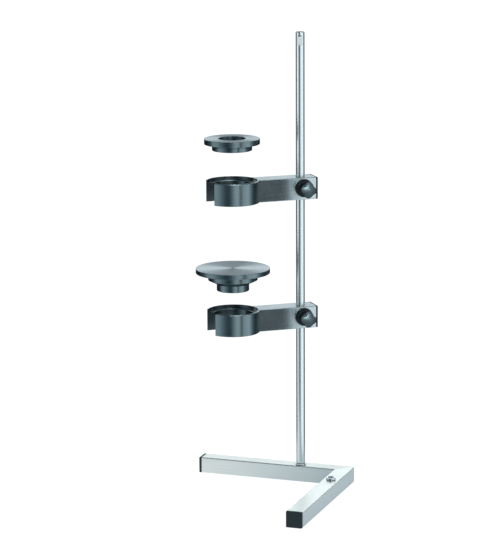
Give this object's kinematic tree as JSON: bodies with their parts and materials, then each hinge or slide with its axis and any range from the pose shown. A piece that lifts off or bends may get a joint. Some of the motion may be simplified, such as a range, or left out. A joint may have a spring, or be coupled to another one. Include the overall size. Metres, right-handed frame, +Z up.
{
  "type": "retort stand",
  "caption": "Rod stand on an L-shaped square-tube base, with clamped swivel arms that end in slotted cups holding a loose bored ring and a round plate.",
  "frame": {"origin": "on the underside of the base, directly under the rod's axis", "axes": "+Z up along the rod; +X along the long bar towards the corner; the short bar runs from the corner towards -Y"},
  "size_m": [0.22, 0.2438, 0.622],
  "materials": {
    "satin_aluminium": "satin anodised, drawn lengthways",
    "brushed_aluminium": "brushed and anodised lengthways",
    "cast_aluminium": "as sawn and cast, hidden",
    "polished_stainless": "ground and polished",
    "black_anodised": "turned and black anodised, satin",
    "knob_plastic": "moulded, semi-matt",
    "cap_plastic": "moulded, fine grain",
    "nylon": "plain, hidden",
    "brass": "turned, hidden"
  },
  "bodies": {
    "stand": {"base_long_bar": "satin_aluminium", "base_short_bar": "satin_aluminium", "corner_connector": "cast_aluminium", "long_bar_end_cap": "cap_plastic", "short_bar_end_cap": "cap_plastic", "short_bar_screw": "polished_stainless", "rod": "polished_stainless", "rod_collar": "polished_stainless"},
    "upper_bush": {"upper_guide_bush": "nylon"},
    "upper_arm": {"upper_arm_tube": "brushed_aluminium", "upper_arm_end_cap": "cap_plastic", "upper_clamp_block": "cast_aluminium", "upper_cup_plug": "cast_aluminium", "upper_cup": "black_anodised", "upper_cup_screw_bottom": "polished_stainless", "upper_cup_screw_top": "polished_stainless", "upper_clamp_disc": "knob_plastic"},
    "upper_pad": {"upper_pressure_pad": "brass"},
    "upper_knob": {"upper_knob": "knob_plastic", "upper_knob_stud": "polished_stainless"},
    "ring_insert": {"ring_insert": "black_anodised"},
    "lower_bush": {"lower_guide_bush": "nylon"},
    "lower_arm": {"lower_arm_tube": "brushed_aluminium", "lower_arm_end_cap": "cap_plastic", "lower_clamp_block": "cast_aluminium", "lower_cup_plug": "cast_aluminium", "lower_cup": "black_anodised", "lower_cup_screw_bottom": "polished_stainless", "lower_cup_screw_top": "polished_stainless", "lower_clamp_disc": "knob_plastic"},
    "lower_pad": {"lower_pressure_pad": "brass"},
    "lower_knob": {"lower_knob": "knob_plastic", "lower_knob_stud": "polished_stainless"},
    "plate_insert": {"plate_insert": "black_anodised"}
  },
  "joints": [
    {"name": "upper_height", "type": "slide", "parent": "stand", "child": "upper_bush", "axis": [0, 0, 1], "range_m": [-0.04, 0.175]},
    {"name": "upper_swivel", "type": "hinge", "parent": "upper_bush", "child": "upper_arm", "pos_m": [0, 0, 0.411], "axis": [0, 0, 1], "continuous": true},
    {"name": "upper_pad_feed", "type": "slide", "parent": "upper_arm", "child": "upper_pad", "axis": [0.6157, -0.788, 0], "range_m": [0, 0.0021]},
    {"name": "upper_knob_turn", "type": "hinge", "parent": "upper_pad", "child": "upper_knob", "pos_m": [0, 0, 0.412], "axis": [0.6157, -0.788, 0], "range_deg": [0, 720]},
    {"name": "ring_lift", "type": "slide", "parent": "upper_arm", "child": "ring_insert", "axis": [0, 0, 1], "range_m": [-0.0493, 0]},
    {"name": "lower_height", "type": "slide", "parent": "stand", "child": "lower_bush", "axis": [0, 0, 1], "range_m": [-0.19, 0.04]},
    {"name": "lower_swivel", "type": "hinge", "parent": "lower_bush", "child": "lower_arm", "pos_m": [0, 0, 0.233], "axis": [0, 0, 1], "continuous": true},
    {"name": "lower_pad_feed", "type": "slide", "parent": "lower_arm", "child": "lower_pad", "axis": [0.6157, -0.788, 0], "range_m": [0, 0.0021]},
    {"name": "lower_knob_turn", "type": "hinge", "parent": "lower_pad", "child": "lower_knob", "pos_m": [0, 0, 0.234], "axis": [0.6157, -0.788, 0], "range_deg": [0, 720]},
    {"name": "plate_lift", "type": "slide", "parent": "lower_arm", "child": "plate_insert", "axis": [0, 0, 1], "range_m": [-0.0438, 0]}
  ],
  "couplings": [
    {"joint": "upper_pad_feed", "follows": "upper_knob_turn", "m_per_rad": 0.00015915},
    {"joint": "lower_pad_feed", "follows": "lower_knob_turn", "m_per_rad": 0.00015915}
  ]
}
